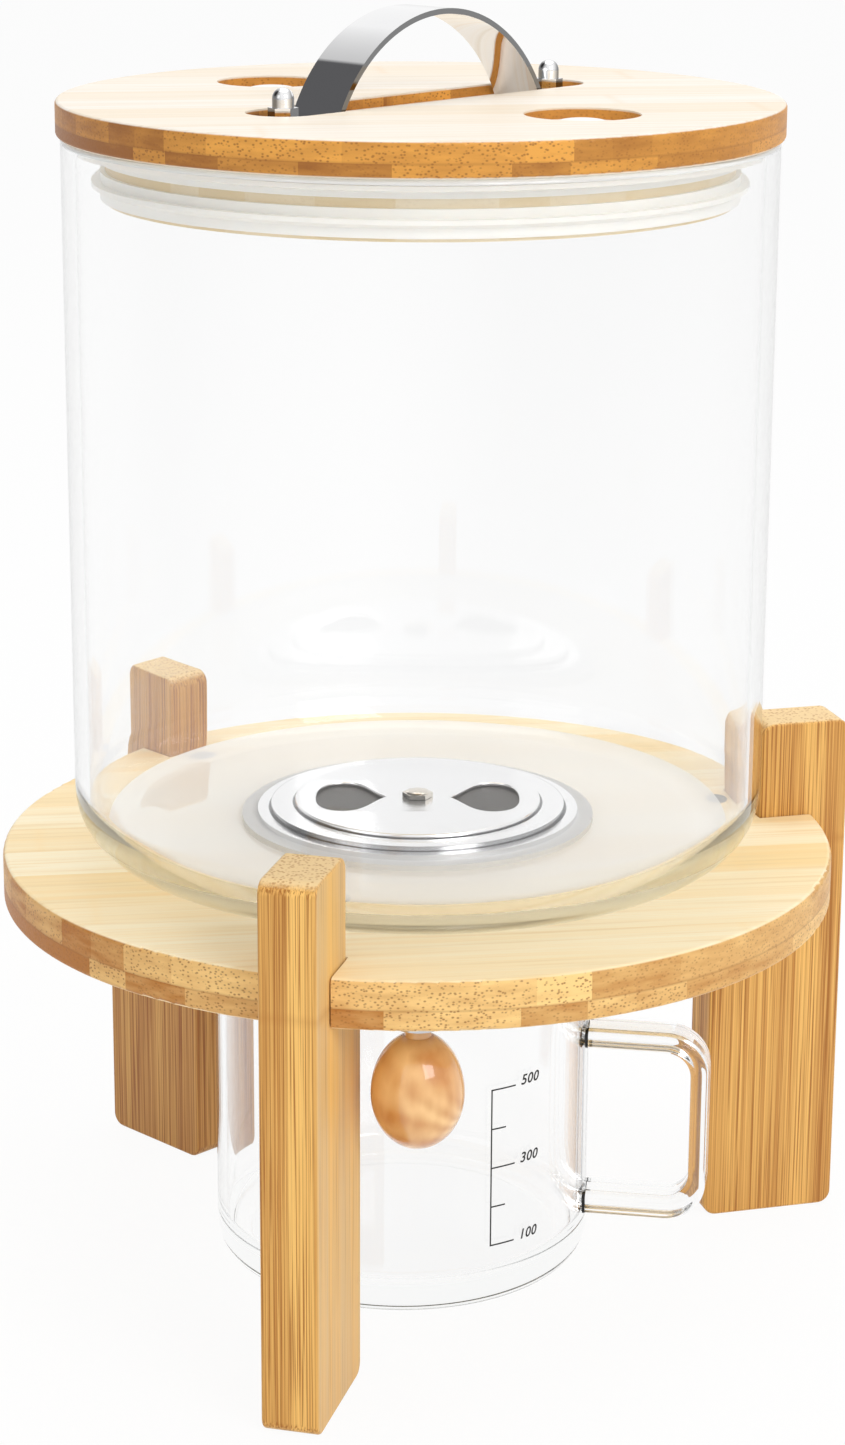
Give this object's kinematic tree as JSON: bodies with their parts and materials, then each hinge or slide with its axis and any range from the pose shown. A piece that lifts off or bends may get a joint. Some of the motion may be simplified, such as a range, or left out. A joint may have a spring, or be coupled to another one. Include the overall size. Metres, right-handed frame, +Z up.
{
  "type": "glass dispenser canister on stand",
  "caption": "Clear glass canister with a bamboo lid on a legged bamboo stand, with a lever-turned floor valve that lets powder or grain fall into a glass measuring cup.",
  "frame": {"origin": "on the canister's vertical axis, at the level of the surface the three feet stand on", "axes": "+Z up along the canister's axis, -Y to the front where the valve lever points when closed, +X to the right"},
  "size_m": [0.2459, 0.2459, 0.3618],
  "materials": {
    "clear_glass": "clear polished",
    "bamboo_board": "oiled",
    "bamboo_leg": "oiled",
    "knob_wood": "lacquered",
    "steel": "polished",
    "bright_steel": "mirror",
    "white_plastic": "satin",
    "clear_silicone": "translucent",
    "grey_silicone": "matt"
  },
  "bodies": {
    "stand": {"shelf_board": "bamboo_board", "leg_front": "bamboo_leg", "leg_right": "bamboo_leg", "leg_left": "bamboo_leg", "leg_screws": "steel", "glass_jar": "clear_glass", "jar_gasket": "grey_silicone", "valve_body": "white_plastic", "shelf_gasket": "grey_silicone", "clamp_nut": "white_plastic", "valve_plate": "steel"},
    "lid": {"lid_board": "bamboo_board", "lid_plug": "bamboo_board", "seal_upper": "clear_silicone", "seal_lower": "clear_silicone", "plug_screws": "steel", "lid_buttons": "white_plastic", "handle_strap": "bright_steel", "handle_screws": "steel", "handle_nuts": "bright_steel"},
    "rotor": {"rotor_disc": "white_plastic", "rotor_seal": "grey_silicone", "centre_screw": "bright_steel", "spindle": "steel", "lever_arm": "steel", "lever_nut": "steel", "knob": "knob_wood", "knob_screw": "steel"},
    "cup": {"measuring_cup": "clear_glass"}
  },
  "joints": [
    {"name": "lid_lift", "type": "slide", "parent": "stand", "child": "lid", "axis": [0, 0, 1], "range_m": [0, 0.08]},
    {"name": "valve_turn", "type": "hinge", "parent": "stand", "child": "rotor", "pos_m": [0, 0, 0.12], "axis": [0, 0, 1], "range_deg": [0, 60]},
    {"name": "cup_slide", "type": "slide", "parent": "stand", "child": "cup", "axis": [-0.9659, -0.2588, 0], "range_m": [0, 0.18]}
  ]
}
